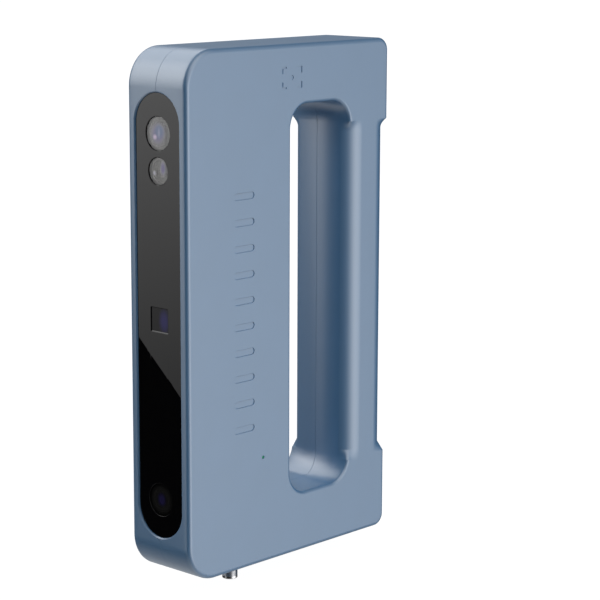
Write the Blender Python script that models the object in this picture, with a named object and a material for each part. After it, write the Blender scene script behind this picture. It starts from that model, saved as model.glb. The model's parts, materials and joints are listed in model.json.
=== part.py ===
"""Handheld structured-light 3D scanner with a D-shaped grip, made of separate pieces.

Design frame, in millimetres: X runs through the thickness with the parting plane at X = 0, the lens
face is at Y = 0 and looks along -Y, and the housing stands from Z = 0 to HEIGHT. An empty shifts this
frame so that the world origin is the middle of the grip. Blender objects are in metres.
"""

import functools
import math

import bmesh
import bpy
from mathutils import Matrix, Vector
from mathutils.geometry import tessellate_polygon

MM = 0.001
GAP = 0.3  # clearance between neighbouring pieces
EMBED = 1.0  # how far a boss or rib runs into the wall it grows from

# Housing
HEIGHT = 250.0
DEPTH = 140.5
WIDTH = 38.8
HALF = WIDTH / 2
FRONT_CORNER = 17.9
REAR_CORNER = 6.2
EDGE = 2.4
WALL = 2.2
RIM_WALL = 2.4
FRONT_WALL = 4.9
MIDDLE = HEIGHT / 2
START = GAP / 2

# Hand opening and grip
OPENING_FRONT = 69.7
GRIP_FRONT = 111.6
OPENING_Z = (29.75, 221.1)
OPENING_CORNER = 12.0
OPENING_EDGE = 1.8
GRIP_CROWN = 2.5  # how far the grip's front swells at the parting plane
CROWN_HALF = 18.0
GRIP_ARC = (12.4, 9.4)  # radius, and how deep its centre lies
REAR_ARC = (9.5, 9.5)
RUNOUTS = (39.5, 44.4, 205.4, 210.1)  # heights between which the grip's arcs run out, at foot and head
BESIDE_RUNOUT = 0.1  # a last plain station beyond each run-out
LEAST_EDGE = 0.6  # smallest radius of an inside edge
GRIP_CENTRE = (125.0, 125.0)

# Front window and what looks through it
WINDOW_HALF = 14.6
WINDOW_HALF_HEIGHT = 105.15
WINDOW_DEPTH = 0.9
WINDOW_THICK = 1.0
RECESS_DEPTH = 3.5
LEDGE_HALF = 12.8
GLASS_THICK = 0.8
GASKET_THICK = 1.0
GLASS_LAP = 1.2
UPPER_Z = 211.3
TEXTURE_Z = 194.0
PROJECTOR_Z = 124.6
LOWER_Z = 38.3
CAMERA_APERTURE = 8.0
TEXTURE_APERTURE = 6.5
PROJECTOR_APERTURE = 11.7

# Optical bench
BENCH_WEB = (12.0, 14.5)
BENCH_FLANGE = (11.0, 12.5)
BENCH_FLANGE_REAR = 28.0
BENCH_Z = (25.0, 225.0)
BENCH_SCREW_Y = 22.0
BENCH_SCREW_Z = (56.0, 96.0, 152.0, 178.0)

# Main board
BOARD_X = (6.0, 7.6)
BOARD_Y = (33.0, 62.0)
BOARD_Z = (46.0, 186.0)
BOARD_SCREWS = ((36.5, 50.0), (58.5, 50.0), (36.5, 182.0), (58.5, 182.0))
RIBBON_X = (0.3, 3.7)
STATUS_Y = 50.3
STATUS_Z = 53.0

# Cable socket
SOCKET_Y = 46.8
SOCKET_R = 3.8
SOCKET_LOW = -10.8

# Keys on the rear face
SCAN_Z = 231.0
KEY_Z = 216.5
KEY_X = 7.0
SCAN_R = 6.5
KEY_R = 3.0
SCAN_PROUD = 1.0
KEY_PROUD = 0.6
KEY_TRAVEL = 0.8
KEY_BOARD_Y = (129.0, 130.6)
KEY_BOARD_Z = (211.0, 242.0)
KEY_BOARD_HALF = 13.7

# Screws through the two shells: (y, z)
SHELL_SCREWS = ((34.0, 238.0), (92.0, 235.5), (60.0, 208.0), (60.0, 36.0),
                (26.0, 11.0), (92.0, 14.5), (125.7, 190.0), (125.7, 60.0))
BOSS_R = 3.5
PILOT_R = 1.5
THREAD_R = 1.2
HEAD_SEAT = 14.5

# Engraved bars on the right side
BAR_COUNT = 10
BAR_PITCH = 12.4
BAR_Y = 37.5
BAR_HALF_LENGTH = 6.8
BAR_R = 1.6
BAR_DEPTH = 0.4

# Facets: round the corners of the side view, up a crowned wall, round an edge outside and inside,
# and along a run-out
HOUSING_STEPS = 7
OPENING_STEPS = 6
CROWN_STEPS = 2
OUTSIDE_STEPS = (1, 2, 2)
INSIDE_STEPS = (1, 1, 1)
RUNOUT_STEPS = 4
PROFILE_RAYS = 240
REACH = 60.0  # longer than any ray
NEAR_EDGE = 1e-3  # how near to a surface a sample counts as on it

# colour, roughness, metallic
FINISHES = {
    "shell": ((0.235, 0.325, 0.43), 0.42, 0.35),
    "window": ((0.006, 0.006, 0.007), 0.06, 0.0),
    "rubber": ((0.02, 0.02, 0.02), 0.8, 0.0),
    "glass": ((0.20, 0.20, 0.19), 0.08, 0.0),
    "lens": ((0.05, 0.04, 0.14), 0.05, 0.0),
    "black_metal": ((0.02, 0.02, 0.02), 0.45, 0.8),
    "aluminium": ((0.70, 0.71, 0.72), 0.35, 1.0),
    "steel": ((0.62, 0.62, 0.63), 0.28, 1.0),
    "board": ((0.02, 0.13, 0.06), 0.5, 0.0),
    "black_plastic": ((0.015, 0.015, 0.017), 0.5, 0.0),
    "cable": ((0.55, 0.52, 0.45), 0.55, 0.0),
    "key": ((0.10, 0.12, 0.14), 0.5, 0.0),
    "light": ((0.05, 0.55, 0.20), 0.3, 0.0),
}


def clear_scene():
    for item in list(bpy.data.objects):
        bpy.data.objects.remove(item)


def finish_material(name, finish):
    colour, roughness, metallic = FINISHES[finish]
    made = bpy.data.materials.new(name + "_finish")
    made.use_nodes = True
    shader = made.node_tree.nodes["Principled BSDF"]
    shader.inputs["Base Color"].default_value = (*colour, 1.0)
    shader.inputs["Roughness"].default_value = roughness
    shader.inputs["Metallic"].default_value = metallic
    return made


# ---- Solids, built in millimetres as bmesh -------------------------------------------------------

def closed(bm):
    bmesh.ops.remove_doubles(bm, verts=bm.verts, dist=1e-4)
    bmesh.ops.triangulate(bm, faces=bm.faces)
    bmesh.ops.recalc_face_normals(bm, faces=bm.faces)
    return bm


def axis_matrix(axis):
    """Turns the solid's own Z axis onto the named axis."""
    if axis == "X":
        return Matrix(((0, 0, 1, 0), (1, 0, 0, 0), (0, 1, 0, 0), (0, 0, 0, 1)))
    if axis == "Y":
        return Matrix(((0, 1, 0, 0), (0, 0, 1, 0), (1, 0, 0, 0), (0, 0, 0, 1)))
    return Matrix.Identity(4)


def plate(loops, axis, low, high):
    """A flat plate between low and high. Loops are an outline, then any holes.

    A loop's points are (y, z) for axis X, (z, x) for axis Y and (x, y) for axis Z.
    """
    bm = bmesh.new()
    rings = []
    for level in (low, high):
        rings.append([[bm.verts.new((a, b, level)) for a, b in loop] for loop in loops])
    for lower, upper in zip(*rings):
        for i in range(len(lower)):
            j = (i + 1) % len(lower)
            bm.faces.new((lower[i], lower[j], upper[j], upper[i]))
    triangles = tessellate_polygon([[Vector((a, b, 0)) for a, b in loop] for loop in loops])
    for ring in rings:
        flat = [vert for loop in ring for vert in loop]
        for triangle in triangles:
            bm.faces.new([flat[i] for i in triangle])
    bm.transform(axis_matrix(axis))
    return closed(bm)


def turned(profile, axis, centre, segments, ring=False):
    """A turned solid. Profile points are (radius, height along the axis). A ring's profile closes."""
    bm = bmesh.new()
    rows = []
    for radius, height in profile:
        if radius == 0:
            rows.append([bm.verts.new((0, 0, height))])
            continue
        angles = [math.tau * i / segments for i in range(segments)]
        rows.append([bm.verts.new((radius * math.cos(a), radius * math.sin(a), height)) for a in angles])
    pairs = list(zip(rows, rows[1:]))
    if ring:
        pairs.append((rows[-1], rows[0]))
    for first, second in pairs:
        for i in range(segments):
            j = (i + 1) % segments
            corners = (first[i % len(first)], first[j % len(first)],
                       second[j % len(second)], second[i % len(second)])
            bm.faces.new(list(dict.fromkeys(corners)))
    bm.transform(axis_matrix(axis))
    bm.transform(Matrix.Translation(centre))
    return closed(bm)


def rod(radius, axis, centre, low, high, segments=16):
    return turned(((0, low), (radius, low), (radius, high), (0, high)), axis, centre, segments)


def block(x, y, z):
    return plate((((x[0], y[0]), (x[1], y[0]), (x[1], y[1]), (x[0], y[1])),), "Z", *z)


def circle(a, b, radius, segments):
    angles = [math.tau * i / segments for i in range(segments)]
    return [(a + radius * math.cos(t), b + radius * math.sin(t)) for t in angles]


def obround(a, b, half_length, radius, segments):
    """A slot outline, half_length to each side of a, with round ends of the given radius."""
    reach = half_length - radius
    points = []
    for side, start in ((1, -math.pi / 2), (-1, math.pi / 2)):
        for i in range(segments + 1):
            t = start + math.pi * i / segments
            points.append((a + side * reach + radius * math.cos(t), b + radius * math.sin(t)))
    return points


def rectangle(a0, a1, b0, b1):
    return [(a0, b0), (a1, b0), (a1, b1), (a0, b1)]


def joined(solids):
    """Several solids that don't meet, as one mesh."""
    total = bmesh.new()
    for bm in solids:
        copy = bpy.data.meshes.new("copy")
        bm.to_mesh(copy)
        bm.free()
        total.from_mesh(copy)
        bpy.data.meshes.remove(copy)
    return total


def solid(name, bm):
    """An object in metres from a solid in millimetres."""
    bmesh.ops.scale(bm, vec=(MM, MM, MM), verts=bm.verts)
    mesh = bpy.data.meshes.new(name)
    bm.to_mesh(mesh)
    bm.free()
    made = bpy.data.objects.new(name, mesh)
    bpy.context.collection.objects.link(made)
    return made


def boolean(target, bm, operation):
    """Applies an exact Boolean with a solid in millimetres."""
    tool = solid("tool", bm)
    modifier = target.modifiers.new("boolean", "BOOLEAN")
    modifier.operation = operation
    modifier.solver = "EXACT"
    modifier.object = tool
    bpy.context.view_layer.update()
    graph = bpy.context.evaluated_depsgraph_get()
    result = bpy.data.meshes.new_from_object(target.evaluated_get(graph))
    target.modifiers.clear()
    target.data = result
    result.name = target.name
    bpy.data.objects.remove(tool)


def cut(target, *solids):
    boolean(target, joined(solids), "DIFFERENCE")


def unite(target, *solids):
    boolean(target, joined(solids), "UNION")


def cleaned(target):
    """Triangles only, with the slivers a Boolean leaves removed."""
    bm = bmesh.new()
    bm.from_mesh(target.data)
    bmesh.ops.remove_doubles(bm, verts=bm.verts, dist=2e-6)
    bmesh.ops.dissolve_degenerate(bm, edges=bm.edges, dist=2e-6)
    bmesh.ops.triangulate(bm, faces=bm.faces)
    bm.to_mesh(target.data)
    bm.free()


def piece(target, finish, frame, pivot=None):
    """Gives a finished piece its material and parent. A moving piece's origin goes to its pivot."""
    if pivot:
        offset = Vector(pivot) * MM
        target.data.transform(Matrix.Translation(-offset))
        target.location = offset
    target.data.materials.clear()
    target.data.materials.append(finish_material(target.name, finish))
    target.data.shade_smooth()
    target.data.set_sharp_from_angle(angle=math.radians(35))
    target.parent = frame
    return target


def make(name, bm, finish, frame, pivot=None):
    return piece(solid(name, bm), finish, frame, pivot)


# ---- Half shells ---------------------------------------------------------------------------------

def arc_share(z):
    """How much of the grip's arcs is cut at a height: all along the grip, none at its foot and head."""
    foot, low, high, head = RUNOUTS
    if z < low:
        return max(0.0, (z - foot) / (low - foot))
    return math.sin(math.pi / 2 * min(1.0, max(0.0, (head - z) / (head - high))))


def runout_heights():
    foot, low, high, head = RUNOUTS
    steps = [i / RUNOUT_STEPS for i in range(RUNOUT_STEPS + 1)]
    lower = [foot - BESIDE_RUNOUT] + [foot + (low - foot) * t for t in steps]
    return lower + [high + (head - high) * t for t in steps] + [head + BESIDE_RUNOUT]


def outline(y, z, front_corner, rear_corner, segments):
    """A rounded rectangle's points, counter-clockwise, as (y, z, outward normal).

    Its rear side has points at each run-out height.
    """
    top, bottom = z[1] - rear_corner, z[0] + rear_corner
    quarter = [90 * i / segments for i in range(segments + 1)]
    heights = runout_heights()
    above = [math.degrees(math.asin((h - top) / rear_corner)) for h in heights if h > top]
    below = [360 - math.degrees(math.asin((bottom - h) / rear_corner)) for h in heights if h < bottom]
    corners = ((y[1] - rear_corner, top, rear_corner, sorted(set(quarter + above))),
               (y[0] + front_corner, z[1] - front_corner, front_corner, [90 + t for t in quarter]),
               (y[0] + front_corner, z[0] + front_corner, front_corner, [180 + t for t in quarter]),
               (y[1] - rear_corner, bottom, rear_corner, sorted(set([270 + t for t in quarter] + below))))
    points = []
    for centre_y, centre_z, radius, angles in corners:
        for t in map(math.radians, angles):
            normal = (math.cos(t), math.sin(t))
            points.append((centre_y + radius * normal[0], centre_z + radius * normal[1], normal))
    points += [(y[1], h, (1.0, 0.0)) for h in heights if bottom <= h <= top]
    return points


@functools.lru_cache(maxsize=None)
def edge_rays(face, plain, arc, crown, steps):
    """Rays (angle, reach, full reach) from inside a wall to its edge, which ends on the face at X = face.

    A reach goes to the edge's own plain radius, a full reach to the larger arc too, which is given as
    (radius, depth of its centre). crown is how far the wall swells at X = 0.
    """
    radius, depth = arc
    corner = (face - plain, plain, plain)
    both = (corner, (face - radius, depth, radius))
    deep = depth + 1.0

    def reach(angle, corners):
        near, far = 0.0, REACH
        while far - near > 1e-5:
            middle = (near + far) / 2
            x, inset = middle * math.sin(angle), deep - middle * math.cos(angle)
            gaps = [math.hypot(x - cx, max(ci - inset, 0.0)) - r for cx, ci, r in corners if x > cx]
            if inset < -crown * max(0.0, 1.0 - (x / CROWN_HALF) ** 2) or max([x - face] + gaps) > 0:
                far = middle
            else:
                near = middle
        return near

    samples = []
    for i in range(PROFILE_RAYS + 1):
        angle = math.pi / 2 * i / PROFILE_RAYS
        samples.append((angle, reach(angle, ()), reach(angle, (corner,)), reach(angle, both)))
    own = [angle for angle, square, single, double in samples if square - single > NEAR_EDGE]
    cut_away = [angle for angle, square, single, double in samples if square - double > NEAR_EDGE]
    marks = (cut_away[0], own[0], own[-1], cut_away[-1])
    angles = [marks[0]]
    for start, end, count in zip(marks, marks[1:], steps):
        angles += [start + (end - start) * i / count for i in range(1, count + 1)]
    return [(angle, reach(angle, (corner,)), reach(angle, both)) for angle in angles]


def edge_profile(face, plain, arc, crown, share, steps):
    """Points (x, inset) up a wall from the parting plane and round its edge to the side face."""
    deep = arc[1] + 1.0
    edge = []
    for angle, reach, full in edge_rays(face, plain, arc, crown, steps):
        length = reach + share * (full - reach)
        edge.append((length * math.sin(angle), deep - length * math.cos(angle)))
    edge[-1] = (face, edge[-1][1])
    start, end = START, edge[0][0]
    rises = [start + (end - start) * i / CROWN_STEPS for i in range(CROWN_STEPS)]
    return [(x, -crown * max(0.0, 1.0 - (x / CROWN_HALF) ** 2)) for x in rises] + edge


def edge_loops(points, inward, wall, plain, arc, crown):
    """Loops from the parting plane up a wall and round its edge, wall thick below the outside surface.

    The arc and the crown are only on the rear side of the outline, and the arc runs out along it.
    """
    face, steps = (HALF - wall, INSIDE_STEPS) if wall else (HALF, OUTSIDE_STEPS)
    inner_plain = max(plain - wall, LEAST_EDGE)
    whole_arc, no_arc = (arc[0] - wall, arc[1] - wall), (inner_plain, inner_plain)
    foot, head = RUNOUTS[0], RUNOUTS[-1]
    columns = []
    for y, z, normal in points:
        swell = crown * max(0.0, normal[0]) ** 2
        arced = normal[0] > 0.5 and foot - NEAR_EDGE < z < head + NEAR_EDGE
        column = edge_profile(face, inner_plain, whole_arc if arced else no_arc, swell, arc_share(z), steps)
        columns.append([(x, y + inward * inset * normal[0], z + inward * inset * normal[1])
                        for x, inset in column])
    return list(zip(*columns))


def outer_loops(wall):
    """The housing's outside when wall is 0, or the inside of its wall."""
    front, rim = (FRONT_WALL, RIM_WALL) if wall else (0.0, 0.0)
    points = outline((front, DEPTH - rim), (rim, HEIGHT - rim), FRONT_CORNER - rim, REAR_CORNER - rim,
                     HOUSING_STEPS)
    return edge_loops(points, -1, wall, EDGE, REAR_ARC, 0.0)


def opening_loops(wall):
    """The hand opening's wall when wall is 0, or the far side of that wall."""
    corner = OPENING_CORNER + wall
    points = outline((OPENING_FRONT - wall, GRIP_FRONT + wall), (OPENING_Z[0] - wall, OPENING_Z[1] + wall),
                     corner, corner, OPENING_STEPS)
    return edge_loops(points, 1, wall, OPENING_EDGE, GRIP_ARC, GRIP_CROWN)


def half_shell():
    """One half of the housing as a plain hollow tray, on the +X side, open at the parting plane."""
    bm = bmesh.new()

    def strip(first, second):
        count = len(first)
        for i in range(count):
            j = (i + 1) % count
            bm.faces.new((first[i], first[j], second[j], second[i]))

    def surface(loops):
        rows = [[bm.verts.new(point) for point in loop] for loop in loops]
        for first, second in zip(rows, rows[1:]):
            strip(first, second)
        return rows[0], rows[-1]

    rims = {}
    for wall in (0.0, WALL):
        outer_rim, outer_top = surface(outer_loops(wall))
        opening_rim, opening_top = surface(opening_loops(wall))
        flat = outer_top + opening_top
        polygon = [[Vector((v.co.y, v.co.z, 0)) for v in loop] for loop in (outer_top, opening_top)]
        for triangle in tessellate_polygon(polygon):
            bm.faces.new([flat[i] for i in triangle])
        rims[wall] = (outer_rim, opening_rim)
    for outside, inside in zip(rims[0.0], rims[WALL]):
        strip(outside, inside)
    return closed(bm)


def window_cutters():
    recess = obround(MIDDLE, 0.0, WINDOW_HALF_HEIGHT, WINDOW_HALF, 12)
    inner = WINDOW_HALF_HEIGHT - (WINDOW_HALF - LEDGE_HALF)
    through = obround(MIDDLE, 0.0, inner, LEDGE_HALF, 12)
    return plate((recess,), "Y", -1.0, RECESS_DEPTH), plate((through,), "Y", 2.0, FRONT_WALL + 1.0)


def shell_body(name):
    """What the two shells share: bosses, card guides, window, socket and key holes."""
    shell = solid(name, half_shell())
    bosses = [rod(BOSS_R, "X", (0, y, z), GAP / 2, HALF - WALL + EMBED, 10) for y, z in SHELL_SCREWS]
    guides = [block((KEY_BOARD_HALF - 1.2, HALF - WALL + EMBED), span, (214.0, 239.0))
              for span in ((126.5, KEY_BOARD_Y[0] - GAP), (KEY_BOARD_Y[1] + GAP, 133.0))]
    unite(shell, *bosses, *guides)
    for cutter in window_cutters():
        cut(shell, cutter)
    rear = (DEPTH - RIM_WALL - 1.0, DEPTH + 1.0)
    cut(shell,
        rod(SOCKET_R + GAP, "Z", (0, SOCKET_Y, 0), -1.0, RIM_WALL + 1.0, 20),
        rod(SCAN_R + GAP, "Y", (0, 0, SCAN_Z), *rear, 24),
        rod(KEY_R + GAP, "Y", (KEY_X, 0, KEY_Z), *rear))
    return shell


def right_shell(frame):
    shell = shell_body("right_shell")
    wall_side = HALF - WALL + EMBED
    bench = [rod(3.2, "X", (0, BENCH_SCREW_Y, z), BENCH_FLANGE[1] + GAP, wall_side, 8)
             for z in BENCH_SCREW_Z]
    standoffs = [rod(3.0, "X", (0, y, z), BOARD_X[1] + GAP, wall_side, 8) for y, z in BOARD_SCREWS]
    unite(shell, *bench, *standoffs)
    pilots = [rod(PILOT_R, "X", (0, y, z), -1.0, 12.0, 8) for y, z in SHELL_SCREWS]
    pilots += [rod(PILOT_R, "X", (0, BENCH_SCREW_Y, z), BENCH_FLANGE[1], 17.0, 8) for z in BENCH_SCREW_Z]
    pilots += [rod(PILOT_R, "X", (0, y, z), BOARD_X[1], 15.0, 8) for y, z in BOARD_SCREWS]
    light = rod(1.05, "X", (0, STATUS_Y, STATUS_Z), HALF - WALL - 1.0, HALF + 1.0, 8)
    first = MIDDLE - BAR_PITCH * (BAR_COUNT - 1) / 2
    bars = [plate((obround(BAR_Y, first + i * BAR_PITCH, BAR_HALF_LENGTH, BAR_R, 3),),
                  "X", HALF - BAR_DEPTH, HALF + 1.0) for i in range(BAR_COUNT)]
    cut(shell, *pilots, light, *bars)
    cleaned(shell)
    piece(shell, "shell", frame)


def left_shell(frame):
    shell = shell_body("left_shell")
    seat = ((0, -1.0), (1.7, -1.0), (1.7, HEAD_SEAT), (3.2, HEAD_SEAT), (3.2, HALF + 1.0), (0, HALF + 1.0))
    cut(shell, *[turned(seat, "X", (0, y, z), 12) for y, z in SHELL_SCREWS])
    cleaned(shell)
    shell.data.transform(Matrix.Scale(-1, 4, (1, 0, 0)))
    shell.data.flip_normals()
    piece(shell, "shell", frame)


# ---- Front window and optics ---------------------------------------------------------------------

def window(frame):
    half = WINDOW_HALF - GAP
    back = WINDOW_DEPTH + WINDOW_THICK
    pane = obround(MIDDLE, 0.0, WINDOW_HALF_HEIGHT - GAP, half, 16)
    side = PROJECTOR_APERTURE / 2
    holes = [circle(UPPER_Z, 0, CAMERA_APERTURE, 28), circle(TEXTURE_Z, 0, TEXTURE_APERTURE, 24),
             rectangle(PROJECTOR_Z - side, PROJECTOR_Z + side, -side, side),
             circle(LOWER_Z, 0, CAMERA_APERTURE, 28)]
    make("front_window", plate((pane, *holes), "Y", WINDOW_DEPTH, back), "window", frame)
    inner = obround(MIDDLE, 0.0, WINDOW_HALF_HEIGHT - (WINDOW_HALF - LEDGE_HALF), LEDGE_HALF, 16)
    rim = plate((pane, inner), "Y", back + GAP, back + GAP + GASKET_THICK)
    make("window_gasket", rim, "rubber", frame)
    span = (back + GAP, back + GAP + GLASS_THICK)
    for name, z, radius in (("upper_camera_glass", UPPER_Z, CAMERA_APERTURE),
                            ("texture_camera_glass", TEXTURE_Z, TEXTURE_APERTURE - 0.1),
                            ("lower_camera_glass", LOWER_Z, CAMERA_APERTURE)):
        make(name, plate((circle(z, 0, radius + GLASS_LAP, 24),), "Y", *span), "glass", frame)
    side += GLASS_LAP
    square = rectangle(PROJECTOR_Z - side, PROJECTOR_Z + side, -side, side)
    make("projector_glass", plate((square,), "Y", *span), "lens", frame)


def camera(prefix, z, scale, frame):
    """A lens barrel through the bench, its front lens, and a board with the sensor on it."""
    front = 3.6
    barrel = ((7.0 * scale, front), (7.0 * scale, 6.0), (6.0 * scale, 6.0), (6.0 * scale, 17.5),
              (4.3 * scale, 17.5), (4.3 * scale, 5.6), (5.6 * scale, front))
    centre = (0, 0, z)
    make(prefix + "_barrel", turned(barrel, "Y", centre, 16, ring=True), "black_metal", frame)
    bore = 4.3 * scale - GAP
    lens = ((0, 5.0), (bore * 0.55, 5.2), (bore * 0.85, 5.8), (bore, 6.6), (bore, 9.5), (0, 9.5))
    make(prefix + "_lens", turned(lens, "Y", centre, 16), "lens", frame)
    board = solid(prefix + "_board", block((-13.0, 10.5), (20.2, 21.8), (z - 8.2, z + 8.2)))
    unite(board, block((-4.0, 4.0), (18.6, 20.7), (z - 3.5, z + 3.5)))
    cleaned(board)
    piece(board, "board", frame)


def projector(frame):
    z = PROJECTOR_Z
    housing = solid("projector_housing", block((-9.0, 9.0), (4.2, 24.0), (z - 11.0, z + 11.0)))
    cut(housing, rod(4.3, "Y", (0, 0, z), 3.0, 20.0, 20))
    cleaned(housing)
    piece(housing, "black_metal", frame)
    lens = ((0, 5.2), (2.2, 5.4), (3.4, 6.0), (4.0, 6.8), (4.0, 9.5), (0, 9.5))
    make("projector_lens", turned(lens, "Y", (0, 0, z), 16), "lens", frame)
    make("projector_light_board", block((-9.0, 9.0), (24.3, 25.5), (z - 11.0, z + 11.0)), "board", frame)
    make("projector_heatsink", comb("Z", (-9.0, 9.0), (25.8, 27.3), 31.5, (z - 11.0, z + 11.0), 5),
         "aluminium", frame)


def comb(axis, across, base, tip, along, fins):
    """A finned heatsink: a base with equal fins, as one extruded outline."""
    pitch = (across[1] - across[0]) / (2 * fins - 1)
    points = [(across[0], base[0])]
    for i in range(fins):
        left = across[0] + 2 * i * pitch
        points += [(left, base[1]), (left, tip), (left + pitch, tip), (left + pitch, base[1])]
    points.append((across[1], base[0]))
    points = [p for i, p in enumerate(points) if i == 0 or p != points[i - 1]]
    return plate((points,), axis, *along)


def bench(frame):
    outline_points = ((-14.0, BENCH_WEB[0]), (BENCH_FLANGE[1], BENCH_WEB[0]),
                      (BENCH_FLANGE[1], BENCH_FLANGE_REAR), (BENCH_FLANGE[0], BENCH_FLANGE_REAR),
                      (BENCH_FLANGE[0], BENCH_WEB[1]), (-14.0, BENCH_WEB[1]))
    made = solid("optical_bench", plate((outline_points,), "Z", *BENCH_Z))
    web = (BENCH_WEB[0] - 1.0, BENCH_WEB[1] + 1.0)
    holes = [rod(6.0 * scale + GAP, "Y", (0, 0, z), *web, 20)
             for z, scale in ((UPPER_Z, 1.0), (TEXTURE_Z, 0.8), (LOWER_Z, 1.0))]
    holes.append(block((-9.3, 9.3), web, (PROJECTOR_Z - 11.3, PROJECTOR_Z + 11.3)))
    holes += [rod(1.6, "X", (0, BENCH_SCREW_Y, z), BENCH_FLANGE[0] - 1, BENCH_FLANGE[1] + 1, 10)
              for z in BENCH_SCREW_Z]
    cut(made, *holes)
    cleaned(made)
    piece(made, "aluminium", frame)


# ---- Electronics ---------------------------------------------------------------------------------

def main_board(frame):
    board = solid("main_board", block(BOARD_X, BOARD_Y, BOARD_Z))
    sink = BOARD_X[0] + 0.5
    sockets = [block((RIBBON_X[0], sink), y, z) for y, z in (
        ((34.5, 39.5), (168.0, 174.0)), ((34.5, 39.5), (150.0, 156.0)), ((34.5, 39.5), (86.0, 92.0)),
        ((34.5, 39.5), (63.0, 69.0)), ((47.0, 53.0), (171.0, 177.0)), ((43.0, 51.0), (48.5, 53.5)))]
    processor = block((4.3, sink), (40.0, 56.0), (108.0, 124.0))
    unite(board, *sockets, processor)
    cut(board, *[rod(1.6, "X", (0, y, z), BOARD_X[0] - 1, BOARD_X[1] + 1, 8) for y, z in BOARD_SCREWS])
    cleaned(board)
    piece(board, "board", frame)
    # The comb is set out along Y with its fins towards -X.
    fins = comb("Z", (37.0, 59.0), (-4.0, -1.5), 7.0, (103.0, 129.0), 6)
    fins.transform(Matrix(((0, -1, 0, 0), (1, 0, 0, 0), (0, 0, 1, 0), (0, 0, 0, 1))))
    make("processor_heatsink", fins, "aluminium", frame)
    spread = 0.8
    make("status_light", block((BOARD_X[1] + GAP, 9.1), (STATUS_Y - spread, STATUS_Y + spread),
                               (STATUS_Z - spread, STATUS_Z + spread)), "light", frame)
    pipe = ((0, 9.4), (1.6, 9.4), (1.6, 16.5), (0.75, 16.5), (0.75, HALF - 0.1), (0, HALF - 0.1))
    make("light_pipe", turned(pipe, "X", (0, STATUS_Y, STATUS_Z), 12), "light", frame)


def smoothed(points, rounds=1):
    """Chaikin's corner cutting, which keeps the two ends."""
    for _ in range(rounds):
        cut_points = [points[0]]
        for (a0, b0), (a1, b1) in zip(points, points[1:]):
            cut_points.append((0.75 * a0 + 0.25 * a1, 0.75 * b0 + 0.25 * b1))
            cut_points.append((0.25 * a0 + 0.75 * a1, 0.25 * b0 + 0.75 * b1))
        points = cut_points + [points[-1]]
    return points


def ribbon(name, route, frame, thickness=0.5):
    """A flat cable along a route of (y, z) points, as wide as RIBBON_X."""
    line = smoothed(route)
    sides = ([], [])
    for i, (y, z) in enumerate(line):
        before = line[max(i - 1, 0)]
        after = line[min(i + 1, len(line) - 1)]
        along = Vector((after[0] - before[0], after[1] - before[1])).normalized()
        for side, sign in zip(sides, (1, -1)):
            side.append((y - sign * along.y * thickness / 2, z + sign * along.x * thickness / 2))
    make(name, plate((sides[0] + sides[1][::-1],), "X", *RIBBON_X), "cable", frame)


def cables(frame):
    ribbon("upper_camera_ribbon", ((22.4, 207.0), (30.0, 206.0), (31.0, 190.0), (37.0, 184.0),
                                   (37.0, 174.4)), frame)
    ribbon("texture_camera_ribbon", ((22.4, 189.0), (27.0, 188.0), (27.8, 172.0), (31.0, 163.0),
                                     (37.0, 161.0), (37.0, 156.4)), frame)
    ribbon("projector_ribbon", ((25.0, 113.2), (25.2, 104.0), (30.0, 98.5), (37.0, 98.0),
                                (37.0, 92.4)), frame)
    ribbon("lower_camera_ribbon", ((22.4, 42.0), (28.0, 43.0), (29.0, 53.0), (37.0, 55.5),
                                   (37.0, 62.6)), frame)
    ribbon("key_ribbon", ((128.5, 238.0), (124.0, 243.0), (112.0, 243.5), (74.0, 243.5),
                          (54.0, 240.0), (50.0, 222.0), (50.0, 177.4)), frame)
    curve = bpy.data.curves.new("socket_lead", "CURVE")
    curve.dimensions = "3D"
    curve.bevel_depth = 1.8 * MM
    curve.bevel_resolution = 2
    curve.use_fill_caps = True
    route = smoothed(((46.8, 13.0), (46.8, 26.0), (47.0, 36.0), (47.0, 48.0)), rounds=2)
    spline = curve.splines.new("POLY")
    spline.points.add(len(route) - 1)
    for i, (point, (y, z)) in enumerate(zip(spline.points, route)):
        x = 2.4 * i / (len(route) - 1)
        point.co = (x * MM, y * MM, z * MM, 1)
    lead = bpy.data.objects.new("socket_lead", curve)
    bpy.context.collection.objects.link(lead)
    curve.materials.append(finish_material("socket_lead", "black_plastic"))
    lead.parent = frame


def cable_socket(frame):
    centre = (0, SOCKET_Y, 0)
    r = SOCKET_R
    barrel = ((r, SOCKET_LOW), (r, -2.7), (r + 1.6, -2.7), (r + 1.6, -1.4), (r, -1.4), (r, 8.5),
              (3.1, 8.5), (3.1, SOCKET_LOW))
    make("socket_barrel", turned(barrel, "Z", centre, 24, ring=True), "steel", frame)
    washer = ((r + GAP, -1.1), (r + 1.6, -1.1), (r + 1.6, -GAP), (r + GAP, -GAP))
    make("socket_washer", turned(washer, "Z", centre, 24, ring=True), "rubber", frame)
    hexagon = circle(0, SOCKET_Y, 5.8, 6)
    nut = plate((hexagon, circle(0, SOCKET_Y, r + GAP, 20)), "Z", RIM_WALL + GAP, RIM_WALL + GAP + 2.3)
    make("socket_nut", nut, "steel", frame)
    insert = solid("socket_insert", rod(2.8, "Z", centre, SOCKET_LOW + 0.8, 9.0, 20))
    contacts = [rod(0.45, "Z", (1.4 * math.cos(t), SOCKET_Y + 1.4 * math.sin(t), 0), -12.0, -5.0, 8)
                for t in (math.radians(45 + 90 * i) for i in range(4))]
    cut(insert, *contacts)
    cleaned(insert)
    piece(insert, "black_plastic", frame)


# ---- Keys ----------------------------------------------------------------------------------------

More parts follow.
